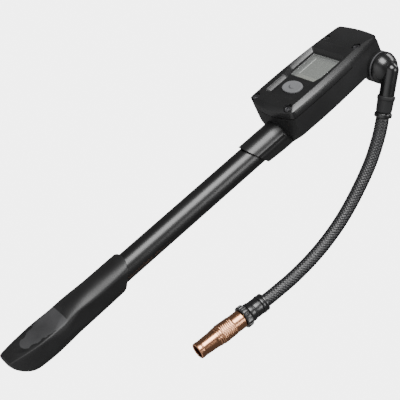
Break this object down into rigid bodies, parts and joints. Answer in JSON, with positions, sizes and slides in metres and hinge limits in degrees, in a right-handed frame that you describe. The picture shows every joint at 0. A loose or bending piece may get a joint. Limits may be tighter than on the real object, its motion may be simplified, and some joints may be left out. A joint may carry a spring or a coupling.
{
  "type": "shock suspension pump",
  "caption": "Hand pump for suspension shocks: slim barrel with a sliding grip, digital gauge head with button, swivel elbow, braided hose and screw-on valve chuck.",
  "frame": {"origin": "on the axis of the barrel, halfway along its exposed part between grip and collar", "axes": "+Z along the barrel towards the gauge head; the display faces -Y; the hose leaves the head on the +X side"},
  "size_m": [0.0555, 0.0952, 0.2893],
  "materials": {
    "anodised": "anodised, satin",
    "shell": "satin, fine texture",
    "grip": "fine texture",
    "gloss_black": "gloss",
    "button_grey": "satin",
    "lcd": "liquid crystal panel",
    "clear": "clear",
    "board": "solder mask",
    "steel": "turned",
    "screw_steel": "dark oxide",
    "cast": "die cast",
    "brass": "turned",
    "copper": "copper-coloured anodised, bright",
    "rubber": "matt",
    "braid": "braided, satin",
    "dark_metal": "black anodised, bright",
    "ring_grey": "satin",
    "spring": "drawn wire"
  },
  "bodies": {
    "pump_body": {"barrel": "anodised", "rod_bushing": "brass", "barrel_seal": "rubber", "barrel_collar": "dark_metal", "housing": "shell", "gauge_cover": "shell", "cover_gasket": "rubber", "cover_screws": "screw_steel", "lens": "clear", "display_frame": "shell", "display_panel": "lcd", "circuit_board": "board", "coin_battery": "steel", "battery_clip": "brass", "switch_dome": "steel", "pressure_sensor": "screw_steel", "sensor_seal": "rubber", "air_manifold": "cast", "manifold_screws": "screw_steel", "check_spring": "spring", "bleed_spring": "spring", "swivel_stem": "steel", "swivel_seal": "rubber", "swivel_clip": "spring", "swivel_ring": "ring_grey"},
    "rod_assembly": {"piston_rod": "steel", "piston": "cast", "piston_seal": "rubber", "rod_bumper": "rubber", "rod_insert": "brass", "handle": "grip"},
    "power_key": {"power_button": "button_grey"},
    "bleed_valve": {"bleed_button": "button_grey", "bleed_poppet": "brass"},
    "check_valve": {"check_ball": "steel"},
    "hose_assembly": {"elbow": "gloss_black", "hose_sleeve": "rubber", "upper_ferrule": "dark_metal", "hose": "braid", "lower_ferrule": "dark_metal", "chuck_collar": "dark_metal", "chuck_core": "brass", "chuck_clip": "spring", "valve_seal": "rubber"},
    "chuck_nut": {"chuck_sleeve": "copper"},
    "press_ring": {"flange_ring": "dark_metal"},
    "pin": {"depressor_pin": "steel"}
  },
  "joints": [
    {"name": "handle_stroke", "type": "slide", "parent": "pump_body", "child": "rod_assembly", "axis": [0, 0, -1], "range_m": [0, 0.135]},
    {"name": "hose_swivel", "type": "hinge", "parent": "pump_body", "child": "hose_assembly", "pos_m": [0.027, 0, 0.1472], "axis": [1, 0, 0], "continuous": true},
    {"name": "power_press", "type": "slide", "parent": "pump_body", "child": "power_key", "axis": [0, 1, 0], "range_m": [0, 0.0006], "stiffness_N_per_m": 800},
    {"name": "bleed_press", "type": "slide", "parent": "pump_body", "child": "bleed_valve", "axis": [1, 0, 0], "range_m": [0, 0.0012], "stiffness_N_per_m": 1500, "deforming": ["bleed_spring"]},
    {"name": "check_lift", "type": "slide", "parent": "pump_body", "child": "check_valve", "axis": [0, 0, 1], "range_m": [0, 0.001], "stiffness_N_per_m": 60, "deforming": ["check_spring"]},
    {"name": "chuck_spin", "type": "hinge", "parent": "hose_assembly", "child": "chuck_nut", "pos_m": [0.027, 0.0656, -0.0112], "axis": [0, -0.1435, -0.9897], "continuous": true},
    {"name": "ring_turn", "type": "hinge", "parent": "hose_assembly", "child": "press_ring", "pos_m": [0.027, 0.0656, -0.0112], "axis": [0, -0.1435, -0.9897], "range_deg": [0, 540]},
    {"name": "pin_travel", "type": "slide", "parent": "hose_assembly", "child": "pin", "axis": [0, -0.1435, -0.9897], "range_m": [0, 0.0019]}
  ],
  "couplings": [
    {"joint": "ring_turn", "follows": "pin_travel", "rad_per_m": 4960}
  ]
}
